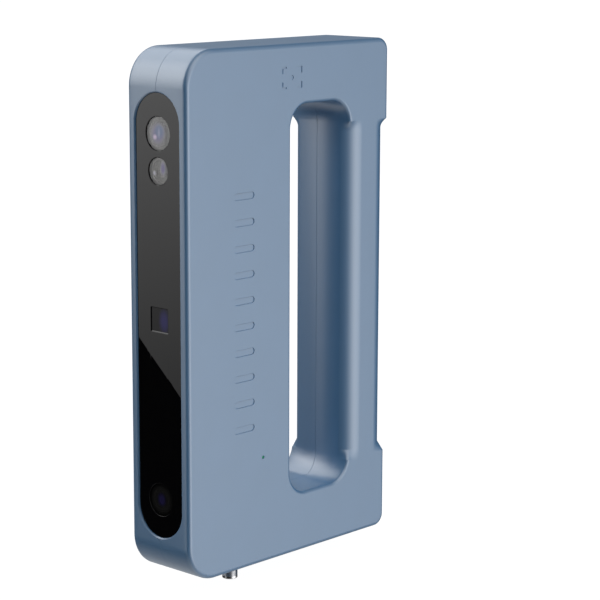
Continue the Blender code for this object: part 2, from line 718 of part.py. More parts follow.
def push_key(name, x, z, radius, proud, finish, frame):
    """A cap through the rear wall, with a flange inside it and a stem towards its switch."""
    top = DEPTH + proud
    flange = radius + (1.7 if radius > KEY_R else 1.0)
    stem = 2.0 if radius > KEY_R else 1.2
    profile = ((0, 133.9), (stem, 133.9), (stem, 136.4), (flange, 136.4), (flange, 137.7),
               (radius, 137.7), (radius, top - 0.5), (radius - 0.5, top), (0, top))
    segments = 20 if radius > KEY_R else 12
    make(name, turned(profile, "Y", (x, 0, z), segments), finish, frame, pivot=(x, top, z))


def keys(frame):
    push_key("scan_button", 0.0, SCAN_Z, SCAN_R, SCAN_PROUD, "key", frame)
    push_key("brighter_key", KEY_X, KEY_Z, KEY_R, KEY_PROUD, "key", frame)
    push_key("dimmer_key", -KEY_X, KEY_Z, KEY_R, KEY_PROUD, "key", frame)
    board = solid("key_board", block((-KEY_BOARD_HALF, KEY_BOARD_HALF), KEY_BOARD_Y, KEY_BOARD_Z))
    top = 133.9 - KEY_TRAVEL - GAP
    switches = [block((x - 2.2, x + 2.2), (KEY_BOARD_Y[0] + 0.5, top), (z - 2.2, z + 2.2))
                for x, z in ((0.0, SCAN_Z), (KEY_X, KEY_Z), (-KEY_X, KEY_Z))]
    unite(board, *switches)
    cleaned(board)
    piece(board, "board", frame)


# ---- Screws --------------------------------------------------------------------------------------

def screws(prefix, places, seat, tip, head, frame):
    """Socket-head screws along X. The head lies below seat on the -X side, the thread ends at tip."""
    socket = head * 0.5
    top = seat - 2.0
    profile = ((0, top + 1.0), (socket, top + 1.0), (socket, top), (head, top), (head, seat),
               (THREAD_R, seat), (THREAD_R, tip), (0, tip))
    for number, (y, z) in enumerate(places, 1):
        made = solid(f"{prefix}_{number}", turned(profile, "X", (0, 0, 0), 8))
        piece(made, "steel", frame)
        made.location = (0, y * MM, z * MM)


def main():
    clear_scene()
    frame = bpy.data.objects.new("scanner_frame", None)
    bpy.context.collection.objects.link(frame)
    right_shell(frame)
    left_shell(frame)
    window(frame)
    camera("upper_camera", UPPER_Z, 1.0, frame)
    camera("texture_camera", TEXTURE_Z, 0.8, frame)
    camera("lower_camera", LOWER_Z, 1.0, frame)
    projector(frame)
    bench(frame)
    main_board(frame)
    cables(frame)
    cable_socket(frame)
    keys(frame)
    screws("shell_screw", SHELL_SCREWS, -HEAD_SEAT - GAP, 10.0, 2.8, frame)
    bench_places = [(BENCH_SCREW_Y, z) for z in BENCH_SCREW_Z]
    screws("bench_screw", bench_places, BENCH_FLANGE[0] - GAP, 16.0, 2.4, frame)
    screws("board_screw", BOARD_SCREWS, BOARD_X[0] - GAP, 14.0, 2.4, frame)
    frame.location = Vector((0, -GRIP_CENTRE[0], -GRIP_CENTRE[1])) * MM


main()
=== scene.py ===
"""Looks of the handheld 3D scanner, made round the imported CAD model.

Shapes are drawn in millimetres in the scanner's design frame: X through the thickness with the parting
plane at X = 0, the lens face at Y = 0 looking along -Y, and the housing standing from Z = 0.
raw() places them in the CAD frame, in metres.
"""

import functools
import json
import math

import bmesh
import bpy
from mathutils import Matrix, Vector
from mathutils.geometry import tessellate_polygon


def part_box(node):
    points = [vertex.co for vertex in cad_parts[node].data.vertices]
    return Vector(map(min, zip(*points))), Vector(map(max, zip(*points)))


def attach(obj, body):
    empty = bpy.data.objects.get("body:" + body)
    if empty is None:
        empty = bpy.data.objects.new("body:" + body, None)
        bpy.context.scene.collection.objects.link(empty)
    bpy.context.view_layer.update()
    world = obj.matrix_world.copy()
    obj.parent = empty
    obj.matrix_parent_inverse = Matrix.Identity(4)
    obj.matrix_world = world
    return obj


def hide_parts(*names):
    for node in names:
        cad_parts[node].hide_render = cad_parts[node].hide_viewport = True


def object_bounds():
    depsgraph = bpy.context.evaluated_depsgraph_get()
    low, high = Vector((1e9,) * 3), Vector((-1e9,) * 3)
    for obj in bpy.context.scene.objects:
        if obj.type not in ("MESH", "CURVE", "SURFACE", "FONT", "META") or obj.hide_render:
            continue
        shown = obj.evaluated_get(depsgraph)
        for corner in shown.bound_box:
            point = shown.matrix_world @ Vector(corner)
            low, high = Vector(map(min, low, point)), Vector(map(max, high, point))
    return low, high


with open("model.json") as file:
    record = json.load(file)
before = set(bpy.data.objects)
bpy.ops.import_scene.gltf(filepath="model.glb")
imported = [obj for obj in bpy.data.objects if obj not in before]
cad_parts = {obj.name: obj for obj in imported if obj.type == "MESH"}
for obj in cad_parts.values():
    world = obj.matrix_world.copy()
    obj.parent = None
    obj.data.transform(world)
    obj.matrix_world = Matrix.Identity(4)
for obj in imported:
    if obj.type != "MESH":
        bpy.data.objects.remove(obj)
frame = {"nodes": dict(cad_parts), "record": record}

CAD_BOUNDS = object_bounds()
MM = 0.001
SHELL_LOW, SHELL_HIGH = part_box("right_shell")
ORIGIN = Vector((0.0, SHELL_LOW.y, SHELL_LOW.z))
BODY = "housing"

# Housing
HALF = SHELL_HIGH.x / MM
DEPTH = (SHELL_HIGH.y - SHELL_LOW.y) / MM
HEIGHT = (SHELL_HIGH.z - SHELL_LOW.z) / MM
MIDDLE = HEIGHT / 2
FRONT_CORNER = 17.9
REAR_CORNER = 6.2
EDGE = 2.4
WALL = 2.2
RIM_WALL = 2.4
FRONT_WALL = 4.9
SEAM = 0.035
SEAM_ROUND = 0.10
START = SEAM + SEAM_ROUND

# Hand opening and grip
OPENING_FRONT = 69.7
GRIP_FRONT = 111.6
OPENING_Z = (29.75, 221.1)
OPENING_CORNER = 12.0
OPENING_EDGE = 1.8
GRIP_CROWN = 2.5  # how far the grip's front swells at the parting plane
CROWN_HALF = 18.0
GRIP_ARC = (12.4, 9.4)  # radius, and how deep its centre lies
REAR_ARC = (9.5, 9.5)
RUNOUTS = (39.5, 44.4, 205.4, 210.1)  # heights between which the grip's arcs run out, at foot and head
BESIDE_RUNOUT = 0.1  # a last plain station beyond each run-out
LEAST_EDGE = 0.6

# Front window
WINDOW_HALF = 14.6
WINDOW_HALF_HEIGHT = 105.15
WINDOW_GAP = 0.12
WINDOW_EDGE = 0.1
RECESS_DEPTH = 3.5
RECESS_EDGE = 0.5
LEDGE_HALF = 12.8
CAMERA_APERTURE = 8.0
TEXTURE_APERTURE = 6.5
PROJECTOR_APERTURE = 11.7
GLASS_LAP = 1.2
GLASS_GAP = 0.15
GLASS_RECESS = 0.45
GLASS_EDGE = 0.12
SILL = 0.35

# Side marks
BAR_COUNT = 10
BAR_PITCH = 12.4
BAR_Y = 37.5
BAR_HALF_LENGTH = 6.8
BAR_R = 1.6
BAR_DEPTH = 0.4
BAR_EDGE = 0.16
ICON_CENTRE = (70.0, 234.0)
ICON_HALF = (7.0, 5.2)
ICON_ARM = 3.2
ICON_HALF_LINE = 0.45
ICON_DOT = 1.1
ICON_DOT_EDGE = 0.08
ICON_DEPTH = 0.3

# Shell screws, and their counterbores in the left half
SCREW_BOSS = 3.5
SCREW_R = 1.2
SCREW_HOLE = 1.7
HEAD_R = 2.8
HEAD_HEIGHT = 2.0
HEX_R = 1.45
HEX_DEPTH = 1.1
COUNTERBORE = 3.2
COUNTERBORE_EDGE = 0.25
SEAT = 14.5

# Cable socket
SOCKET_R = 3.8
SOCKET_BORE = 3.1
SOCKET_FLANGE = 5.4
SOCKET_FLANGE_EDGE = 0.2
SOCKET_HOLE = 4.1
HOLE_EDGE = 0.25
THREAD_START = 1.5
THREAD_COUNT = 9
THREAD_PITCH = 0.6
THREAD_DEPTH = 0.18

# Status light
PIPE_R = 0.7
PIPE_HOLE = 0.82
PIPE_HOLE_EDGE = 0.1
PIPE_FLANGE = 1.6
PIPE_SHOULDER = 16.5

# Keys
SCAN_R = 6.5
SCAN_HOLE = 6.75
SCAN_HOLE_EDGE = 0.3
KEY_R = 3.0
KEY_HOLE = 3.22
KEY_FLANGE = (136.4, 137.7)  # the flange that holds a key in, front and rear
MARK_DEPTH = 0.25

# Facets: round the corners of the side view, up a crowned wall, round an edge outside and inside,
# and along a run-out
CORNER_STEPS = 20
CROWN_STEPS = 8
OUTSIDE_STEPS = (6, 8, 12)
INSIDE_STEPS = (1, 2, 2)
RUNOUT_STEPS = 12
PROFILE_RAYS = 240
REACH = 60.0  # longer than any ray
NEAR_EDGE = 1e-3

# Each camera's cover glass: the radius of its aperture, its tint, and painted glints as
# (x from the centre, height above it, half width, half height, colour)
# The glints are painted reflections and highlights of the coated lenses behind, opaque on the glass. The
# lower glass's dark tint and its wide near-black glint are painted shade.
CAMERA_GLASSES = {
    "upper": (CAMERA_APERTURE, (0.62, 0.62, 0.60), [
        (-0.4, -0.2, 7.2, 7.4, (0.16, 0.14, 0.32)),
        (0.8, 1.2, 4.4, 4.8, (0.12, 0.18, 0.34)),
        (0.4, 0.2, 1.2, 3.4, (0.28, 0.32, 0.50)),
        (-2.3, -1.7, 1.8, 1.7, (0.70, 0.58, 0.78)),
    ]),
    "texture": (TEXTURE_APERTURE, (0.62, 0.62, 0.60), [
        (2.9, 1.6, 2.8, 5.2, (0.17, 0.15, 0.32)),
        (-2.8, -1.0, 1.6, 1.8, (0.44, 0.43, 0.52)),
    ]),
    "lower": (CAMERA_APERTURE, (0.05, 0.05, 0.05), [
        (0.0, 0.0, 8.4, 8.4, (0.007, 0.007, 0.006)),
        (0.0, 0.0, 3.6, 4.2, (0.018, 0.015, 0.060)),
    ]),
}
CAMERA_GLASS_IOR = 1.75
PROJECTOR_GLASS_IOR = 1.36

# Soft lamps round the scanner: azimuth, elevation, tightness and strength. Azimuth 0 is where the lenses
# look and 90 is the side with the status light.
LAMPS = (
    ("high_left", 270, 45, 4, 0.55),
    ("high_right", 90, 45, 4, 1.72),
    ("below", 0, -90, 3, 0.85),
    ("below_behind", -122, -34, 12, 0.55),
    ("behind", -136, 26, 40, 0.5),
    ("lens_side", -47, 2, 36, 1.66),
    ("lens_high", -50, 26, 20, 2.9),
    ("lens_right", -27, -10, 70, 0.95),
    ("grip_right", -12, -9, 110, 0.85),
    ("right", 92, -8, 24, 1.03),
    ("right_low", 112, -14, 10, 1.6),
    ("rear_right", 136, -8, 12, 0.5),
)

# The camera, found from the housing's outline
CAMERA_AZIMUTH = 43.707
CAMERA_ELEVATION = 10.66
CAMERA_DISTANCE = 989.5
CAMERA_LENS = 121.69
CAMERA_SHIFT = (0.0621, -0.0009)


def design_point(x, y, z):
    return Vector((x, y, z)) * MM + ORIGIN


def centre_of(node):
    low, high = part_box(node)
    return ((low + high) / 2 - ORIGIN) / MM


def span_of(node, axis):
    low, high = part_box(node)
    return ((low[axis] - ORIGIN[axis]) / MM, (high[axis] - ORIGIN[axis]) / MM)


def half_width(node):
    low, high = span_of(node, 0)
    return (high - low) / 2


def direction(azimuth, elevation):
    """The unit vector towards an azimuth and elevation in degrees."""
    a, e = math.radians(azimuth), math.radians(elevation)
    return Vector((math.sin(a) * math.cos(e), -math.cos(a) * math.cos(e), math.sin(e)))


def quarter_turn(steps):
    return [math.pi / 2 * i / steps for i in range(steps + 1)]


def placed(name, data):
    """A new object in the scene."""
    made = bpy.data.objects.new(name, data)
    bpy.context.scene.collection.objects.link(made)
    return made


# ---- Materials -----------------------------------------------------------------------------------

def calculate(tree, operation, *values):
    """The output of a maths node. Each value is a number or another node's output."""
    node = tree.nodes.new("ShaderNodeMath")
    node.operation = operation
    for socket, value in zip(node.inputs, values):
        if isinstance(value, (int, float)):
            socket.default_value = value
        else:
            tree.links.new(value, socket)
    return node.outputs["Value"]


class Nodes:
    """A material's node tree, with short ways to add and link nodes."""

    def __init__(self, name):
        self.material = bpy.data.materials.new(name)
        self.material.use_nodes = True
        self.tree = self.material.node_tree
        self.shader = self.tree.nodes["Principled BSDF"]
        self.place = self.add("ShaderNodeTexCoord").outputs["Object"]

    def add(self, kind, **settings):
        node = self.tree.nodes.new(kind)
        for key, value in settings.items():
            if key in node.inputs:
                node.inputs[key].default_value = value
            else:
                setattr(node, key, value)
        return node

    def link(self, source, target):
        self.tree.links.new(source, target)

    def set(self, **values):
        for key, value in values.items():
            self.shader.inputs[key.replace("_", " ")].default_value = value

    def noise(self, scale, detail=3.0, stretch=None):
        node = self.add("ShaderNodeTexNoise", Scale=scale, Detail=detail)
        source = self.place
        if stretch:
            mapping = self.add("ShaderNodeMapping", Scale=stretch)
            self.link(source, mapping.inputs["Vector"])
            source = mapping.outputs["Vector"]
        self.link(source, node.inputs["Vector"])
        return node.outputs["Fac"]

    def ramp(self, source, before, after, **settings):
        """Take the range before to the range after."""
        node = self.add("ShaderNodeMapRange", **settings)
        for name, value in zip(("From Min", "From Max", "To Min", "To Max"), (*before, *after)):
            node.inputs[name].default_value = value
        self.link(source, node.inputs["Value"])
        return node.outputs["Result"]

    def between(self, source, low, high):
        """Noise, which lies mostly from 0.3 to 0.7, spread from low to high."""
        return self.ramp(source, (0.3, 0.7), (low, high))

    def mix(self, factor, first, second):
        node = self.add("ShaderNodeMix", data_type="RGBA")
        for socket, value in ((node.inputs[6], first), (node.inputs[7], second)):
            if isinstance(value, tuple):
                socket.default_value = (*value, 1.0)
            else:
                self.link(value, socket)
        self.link(factor, node.inputs[0])
        return node.outputs[2]

    def hide(self, inside):
        """Make the material stop letting light through wherever inside is 1."""
        socket = self.shader.inputs["Transmission Weight"]
        outside = calculate(self.tree, "SUBTRACT", 1.0, inside)
        if socket.links:
            outside = calculate(self.tree, "MULTIPLY", socket.links[0].from_socket, outside)
        self.link(outside, socket)

    def spot(self, centre, half_x, half_z):
        """A soft oval patch round a design point, 1 in its middle and 0 outside."""
        offset = self.add("ShaderNodeVectorMath", operation="SUBTRACT")
        offset.inputs[1].default_value = design_point(*centre)
        self.link(self.place, offset.inputs[0])
        scaled = self.add("ShaderNodeVectorMath", operation="MULTIPLY")
        scaled.inputs[1].default_value = (1 / (half_x * MM), 0.0, 1 / (half_z * MM))
        self.link(offset.outputs["Vector"], scaled.inputs[0])
        length = self.add("ShaderNodeVectorMath", operation="LENGTH")
        self.link(scaled.outputs["Vector"], length.inputs[0])
        return self.ramp(length.outputs["Value"], (1.0, 0.2), (0.0, 1.0), interpolation_type="SMOOTHSTEP")

    def bump(self, height, distance, strength=1.0):
        node = self.add("ShaderNodeBump", Strength=strength, Distance=distance)
        self.link(height, node.inputs["Height"])
        self.link(node.outputs["Normal"], self.shader.inputs["Normal"])

    def colour(self, output):
        self.link(output, self.shader.inputs["Base Color"])

    def roughness(self, output):
        self.link(output, self.shader.inputs["Roughness"])


def shade(colour, factor):
    return tuple(channel * factor for channel in colour)


def grained(name, colour, roughness, metallic=0.0, vary=0.06, grain=2200.0, depth=6e-6, cloud=60.0,
            stretch=None):
    """A moulded, cast or machined surface: cloudy colour, uneven gloss and a fine grain."""
    made = Nodes(name)
    clouds = made.between(made.noise(cloud), 0.0, 1.0)
    fine = made.noise(grain, 4.0, stretch)
    made.colour(made.mix(clouds, shade(colour, 1 - vary), shade(colour, 1 + vary)))
    made.roughness(made.between(fine, roughness * 0.9, roughness * 1.1))
    made.bump(fine, depth)
    made.set(Metallic=metallic)
    return made.material


def board_material():
    """Solder mask with faint copper tracks under it."""
    made = Nodes("board_finish")
    brick = made.add("ShaderNodeTexBrick", Scale=420.0)
    brick.inputs["Color1"].default_value = (0.01, 0.10, 0.045, 1)
    brick.inputs["Color2"].default_value = (0.015, 0.16, 0.07, 1)
    brick.inputs["Mortar"].default_value = (0.03, 0.22, 0.09, 1)
    made.link(made.place, brick.inputs["Vector"])
    made.colour(brick.outputs["Color"])
    made.roughness(made.between(made.noise(900.0), 0.3, 0.5))
    made.bump(brick.outputs["Fac"], 1.5e-5)
    return made.material


def cable_material():
    """A flat cable's parallel conductors under clear film."""
    made = Nodes("cable_finish")
    wave = made.add("ShaderNodeTexWave", Scale=500.0, bands_direction="X")
    made.link(made.place, wave.inputs["Vector"])
    made.colour(made.mix(wave.outputs["Fac"], (0.40, 0.38, 0.34), (0.66, 0.62, 0.54)))
    made.bump(wave.outputs["Fac"], 2e-5)
    made.set(Roughness=0.4)
    return made.material


def light_material():
    """The status light: green plastic with a faint glow."""
    made = Nodes("light_finish")
    made.colour(made.mix(made.noise(1500.0), (0.005, 0.15, 0.08), (0.015, 0.24, 0.13)))
    made.set(Roughness=0.3)
    made.shader.inputs["Emission Color"].default_value = (0.01, 0.30, 0.14, 1)
    made.shader.inputs["Emission Strength"].default_value = 0.15
    return made.material


def shell_material():
    """Steel-blue lacquer: a deep coloured base under a plain satin sheen."""
    made = Nodes("shell_finish")
    clouds = made.between(made.noise(60.0), 0.0, 1.0)
    made.colour(made.mix(clouds, (0.064, 0.175, 0.333), (0.067, 0.181, 0.345)))
    fine = made.noise(2600.0, 4.0)
    made.roughness(made.between(fine, 0.31, 0.36))
    made.bump(fine, 3e-6)
    made.set(Metallic=0.0, IOR=2.4)
    return made.material


def window_material():
    """Black printed glass: nearly a mirror, with faint unevenness in its gloss."""
    made = Nodes("window_finish")
    made.colour(made.mix(made.noise(180.0), (0.0020, 0.0019, 0.0026), (0.0034, 0.0034, 0.0040)))
    made.roughness(made.between(made.noise(70.0), 0.0, 0.012))
    made.set(IOR=1.52)
    return made.material


def glass_material(name, tint, ior, transmission, painted_glints=()):
    """Coated glass with painted glints: painted reflections and highlights of the elements behind it.

    A painted glint is (centre, half width, half height, colour).
    """
    made = Nodes(name + "_finish")
    colour = made.mix(made.noise(300.0), shade(tint, 0.96), shade(tint, 1.04))
    # Each glint paints a highlight or reflection into the colour, and the glass stops letting light through
    # there.
    for centre, half_x, half_z, painted_glint in painted_glints:
        inside = made.spot(centre, half_x, half_z)
        colour = made.mix(inside, colour, painted_glint)
        if transmission:
            made.hide(inside)
    made.colour(colour)
    made.roughness(made.between(made.noise(200.0), 0.0, 0.03))
    made.set(IOR=ior, Transmission_Weight=transmission)
    return made.material


def lens_material():
    """Dark lens with a cloudy violet to blue coating."""
    made = Nodes("lens_finish")
    clouds = made.between(made.noise(260.0), 0.0, 1.0)
    made.colour(made.mix(clouds, (0.10, 0.08, 0.34), (0.16, 0.20, 0.55)))
    made.roughness(made.between(made.noise(400.0), 0.04, 0.10))
    made.set(Metallic=0.75)
    made.shader.inputs["Coat Weight"].default_value = 1.0
    made.shader.inputs["Coat Roughness"].default_value = 0.02
    return made.material


FINISH_OF = {row["node"]: row["material_slot"] for row in frame["record"]["subparts"]}
FINISHES = {
    "shell": shell_material(),
    "window": window_material(),
    "rubber": grained("rubber_finish", (0.02, 0.02, 0.02), 0.8, grain=1800.0, depth=2e-5),
    "glass": glass_material("glass", (0.90, 0.91, 0.92), 1.75, 1.0),
    "lens": lens_material(),
    "black_metal": grained("black_metal_finish", (0.018, 0.018, 0.020), 0.42, 0.7, depth=5e-6),
    "aluminium": grained("aluminium_finish", (0.70, 0.71, 0.72), 0.33, 1.0, stretch=(1, 1, 0.05)),
    "steel": grained("steel_finish", (0.66, 0.66, 0.67), 0.16, 1.0, vary=0.03, grain=3000.0, depth=1e-6,
                     stretch=(1, 1, 12)),
    "board": board_material(),
    "black_plastic": grained("black_plastic_finish", (0.015, 0.015, 0.017), 0.5, depth=1e-5),
    "cable": cable_material(),
    "key": grained("key_finish", (0.030, 0.034, 0.040), 0.48, grain=3200.0, depth=1.2e-5),
    "light": light_material(),
}


# ---- Shapes, in millimetres ----------------------------------------------------------------------

def closed(bm):
    bmesh.ops.remove_doubles(bm, verts=bm.verts, dist=1e-4)
    bmesh.ops.recalc_face_normals(bm, faces=bm.faces)
    return bm


def turn_axis(bm, axis):
    """Turns a solid drawn along Z onto another axis."""
    rows = {"X": ((0, 0, 1, 0), (1, 0, 0, 0), (0, 1, 0, 0), (0, 0, 0, 1)),
            "Y": ((0, 1, 0, 0), (0, 0, 1, 0), (1, 0, 0, 0), (0, 0, 0, 1))}
    if axis in rows:
        bm.transform(Matrix(rows[axis]))


def circle(a, b, radius, steps):
    angles = [math.tau * i / steps for i in range(steps)]
    return [(a + radius * math.cos(t), b + radius * math.sin(t)) for t in angles]


def obround(a, b, half_length, radius, steps):
    """A slot outline along the first coordinate, with round ends."""
    reach = half_length - radius
    points = []
    for side, start in ((1, -math.pi / 2), (-1, math.pi / 2)):
        for i in range(steps + 1):
            t = start + math.pi * i / steps
            points.append((a + side * reach + radius * math.cos(t), b + radius * math.sin(t)))
    return points


def rounded_square(a, b, half, radius, steps=4):
    points = []
    for quarter in range(4):
        to_a, to_b = ((1, 1), (-1, 1), (-1, -1), (1, -1))[quarter]
        for i in range(steps + 1):
            t = math.pi / 2 * (quarter + i / steps)
            points.append((a + to_a * (half - radius) + radius * math.cos(t),
                           b + to_b * (half - radius) + radius * math.sin(t)))
    return points


def stacked(levels, axis):
    """A solid through levels of (height, loops).

    Loops are an outline and then holes, with as many points at each level.
    """
    bm = bmesh.new()
    rows = [[[bm.verts.new((a, b, height)) for a, b in loop] for loop in loops] for height, loops in levels]
    for lower, upper in zip(rows, rows[1:]):
        for first, second in zip(lower, upper):
            for i in range(len(first)):
                j = (i + 1) % len(first)
                bm.faces.new((first[i], first[j], second[j], second[i]))
    for row, (height, loops) in ((rows[0], levels[0]), (rows[-1], levels[-1])):
        flat = [vert for loop in row for vert in loop]
        for triangle in tessellate_polygon([[Vector((a, b, 0)) for a, b in loop] for loop in loops]):
            bm.faces.new([flat[i] for i in triangle])
    turn_axis(bm, axis)
    return closed(bm)


def soft_plate(loops_at, axis, low, high, edge, steps=4):
    """A plate with rounded edges.

    loops_at(offset) gives its outline shrunk, and its holes grown, by offset.
    """
    arc = [(edge * (1 - math.cos(t)), loops_at(edge * (1 - math.sin(t)))) for t in quarter_turn(steps)]
    levels = [(low + rise, loops) for rise, loops in arc]
    levels += [(high - rise, loops) for rise, loops in reversed(arc)]
    return stacked(levels, axis)


def mouth(loop_at, axis, surface, bottom, edge, steps=4):
    """A cutter whose hole meets the surface in a rounded edge. It runs from above the surface to bottom.

    loop_at(offset) gives the hole's outline grown by offset.
    """
    inward = 1 if bottom > surface else -1
    levels = [(surface - inward, [loop_at(edge)])]
    for t in quarter_turn(steps):
        levels.append((surface + inward * edge * (1 - math.cos(t)), [loop_at(edge * (1 - math.sin(t)))]))
    levels.append((bottom, [loop_at(0.0)]))
    return stacked(levels, axis)


def turned(profile, axis, centre, steps, ring=False):
    """A turned solid. Profile points are (radius, height along the axis). A ring's profile closes."""
    bm = bmesh.new()
    rows = []
    for radius, height in profile:
        if radius == 0:
            rows.append([bm.verts.new((0, 0, height))])
        else:
            rows.append([bm.verts.new((a, b, height)) for a, b in circle(0, 0, radius, steps)])
    pairs = list(zip(rows, rows[1:]))
    if ring:
        pairs.append((rows[-1], rows[0]))
    for first, second in pairs:
        for i in range(steps):
            j = (i + 1) % steps
            corners = (first[i % len(first)], first[j % len(first)],
                       second[j % len(second)], second[i % len(second)])
            bm.faces.new(list(dict.fromkeys(corners)))
    turn_axis(bm, axis)
    bm.transform(Matrix.Translation(centre))
    return closed(bm)


def softened(profile, radius, steps=3):
    """Rounds the corners of a turned profile, apart from its ends and points on the axis."""
    points = [profile[0]]
    for before, here, after in zip(profile, profile[1:], profile[2:]):
        a, b, c = Vector(before), Vector(here), Vector(after)
        reach = min(radius, (a - b).length * 0.45, (c - b).length * 0.45)
        start, end = b + (a - b).normalized() * reach, b + (c - b).normalized() * reach
        for i in range(steps + 1):
            t = i / steps
            points.append(tuple(start.lerp(b, t).lerp(b.lerp(end, t), t)))
    return points + [profile[-1]]


def rod(radius, axis, centre, low, high, steps=32):
    return turned(((0, low), (radius, low), (radius, high), (0, high)), axis, centre, steps)


def block(x, y, z):
    corners = [(x[0], y[0]), (x[1], y[0]), (x[1], y[1]), (x[0], y[1])]
    return stacked([(z[0], [corners]), (z[1], [corners])], "Z")


def joined(solids):
    """Solids that don't meet, as one mesh."""
    total = bmesh.new()
    for bm in solids:
        copy = bpy.data.meshes.new("copy")
        bm.to_mesh(copy)
        bm.free()
        total.from_mesh(copy)
        bpy.data.meshes.remove(copy)
    return total


def raw(name, bm):
    """An object in metres, in the CAD frame."""
    bmesh.ops.scale(bm, vec=(MM, MM, MM), verts=bm.verts)
    bmesh.ops.translate(bm, vec=ORIGIN, verts=bm.verts)
    mesh = bpy.data.meshes.new(name)
    bm.to_mesh(mesh)
    bm.free()
    return placed(name, mesh)


def boolean(target, solids, operation):
    tool = raw("tool", joined(solids))
    modifier = target.modifiers.new("boolean", "BOOLEAN")
    modifier.operation = operation
    modifier.solver = "EXACT"
    modifier.object = tool
    bpy.context.view_layer.update()
    graph = bpy.context.evaluated_depsgraph_get()
    result = bpy.data.meshes.new_from_object(target.evaluated_get(graph))
    target.modifiers.clear()
    target.data = result
    result.name = target.name
    bpy.data.objects.remove(tool)


def cut(target, *solids):
    boolean(target, solids, "DIFFERENCE")


def unite(target, *solids):
    boolean(target, solids, "UNION")


def finished(piece, slot, nodes, body=BODY, sharp=32):
    """Shades a piece, gives it its finish and body, and hides the CAD nodes that it stands for."""
    piece.data.shade_smooth()
    piece.data.set_sharp_from_angle(angle=math.radians(sharp))
    normals = piece.modifiers.new("normals", "WEIGHTED_NORMAL")
    normals.mode = "FACE_AREA"
    normals.weight = 100
    normals.keep_sharp = True
    piece.data.materials.clear()
    piece.data.materials.append(FINISHES[slot])
    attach(piece, body)
    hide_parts(*nodes)
    return piece


def build(node, bm, slot, body=BODY, sharp=32):
    return finished(raw(node + "_fine", bm), slot, [node], body, sharp)


# ---- Housing -------------------------------------------------------------------------------------

def arc_share(z):
    """How much of the grip's arcs is cut at a height: all along the grip, none at its foot and head."""
    foot, low, high, head = RUNOUTS
    if z < low:
        return max(0.0, (z - foot) / (low - foot))
    return math.sin(math.pi / 2 * min(1.0, max(0.0, (head - z) / (head - high))))


def runout_heights():
    foot, low, high, head = RUNOUTS
    steps = [i / RUNOUT_STEPS for i in range(RUNOUT_STEPS + 1)]
    lower = [foot - BESIDE_RUNOUT] + [foot + (low - foot) * t for t in steps]
    return lower + [high + (head - high) * t for t in steps] + [head + BESIDE_RUNOUT]


def outline(y, z, front_corner, rear_corner):
    """A rounded rectangle's points, counter-clockwise, as (y, z, outward normal).

    Its rear side has points at each run-out height.
    """
    top, bottom = z[1] - rear_corner, z[0] + rear_corner
    quarter = [90 * i / CORNER_STEPS for i in range(CORNER_STEPS + 1)]
    heights = runout_heights()
    above = [math.degrees(math.asin((h - top) / rear_corner)) for h in heights if h > top]
    below = [360 - math.degrees(math.asin((bottom - h) / rear_corner)) for h in heights if h < bottom]
    corners = ((y[1] - rear_corner, top, rear_corner, sorted(set(quarter + above))),
               (y[0] + front_corner, z[1] - front_corner, front_corner, [90 + t for t in quarter]),
               (y[0] + front_corner, z[0] + front_corner, front_corner, [180 + t for t in quarter]),
               (y[1] - rear_corner, bottom, rear_corner, sorted(set([270 + t for t in quarter] + below))))
    points = []
    for centre_y, centre_z, radius, angles in corners:
        for t in map(math.radians, angles):
            normal = (math.cos(t), math.sin(t))
            points.append((centre_y + radius * normal[0], centre_z + radius * normal[1], normal))
    points += [(y[1], h, (1.0, 0.0)) for h in heights if bottom <= h <= top]
    return points


@functools.lru_cache(maxsize=None)
def edge_rays(face, plain, arc, crown, steps):
    """Rays (angle, reach, full reach) from inside a wall to its edge, which ends on the face at X = face.

    A reach goes to the edge's own plain radius, a full reach to the larger arc too, which is given as
    (radius, depth of its centre). crown is how far the wall swells at X = 0.
    """
    radius, depth = arc
    corner = (face - plain, plain, plain)
    both = (corner, (face - radius, depth, radius))
    deep = depth + 1.0

    def reach(angle, corners):
        near, far = 0.0, REACH
        while far - near > 1e-5:
            middle = (near + far) / 2
            x, inset = middle * math.sin(angle), deep - middle * math.cos(angle)
            gaps = [math.hypot(x - across, max(below - inset, 0.0)) - size
                    for across, below, size in corners if x > across]
            if inset < -crown * max(0.0, 1.0 - (x / CROWN_HALF) ** 2) or max([x - face] + gaps) > 0:
                far = middle
            else:
                near = middle
        return near

    samples = []
    for i in range(PROFILE_RAYS + 1):
        angle = math.pi / 2 * i / PROFILE_RAYS
        samples.append((angle, reach(angle, ()), reach(angle, (corner,)), reach(angle, both)))
    own = [angle for angle, square, single, double in samples if square - single > NEAR_EDGE]
    cut_away = [angle for angle, square, single, double in samples if square - double > NEAR_EDGE]
    marks = (cut_away[0], own[0], own[-1], cut_away[-1])
    angles = [marks[0]]
    for start, end, count in zip(marks, marks[1:], steps):
        angles += [start + (end - start) * i / count for i in range(1, count + 1)]
    return [(angle, reach(angle, (corner,)), reach(angle, both)) for angle in angles]


def edge_profile(face, plain, arc, crown, share, steps):
    """Points (x, inset) up a wall from the parting plane and round its edge to the side face."""
    deep = arc[1] + 1.0
    edge = []
    for angle, reach, full in edge_rays(face, plain, arc, crown, steps):
        length = reach + share * (full - reach)
        edge.append((length * math.sin(angle), deep - length * math.cos(angle)))
    edge[-1] = (face, edge[-1][1])
    start, end = START, edge[0][0]
    rises = [start + (end - start) * i / CROWN_STEPS for i in range(CROWN_STEPS)]
    return [(x, -crown * max(0.0, 1.0 - (x / CROWN_HALF) ** 2)) for x in rises] + edge


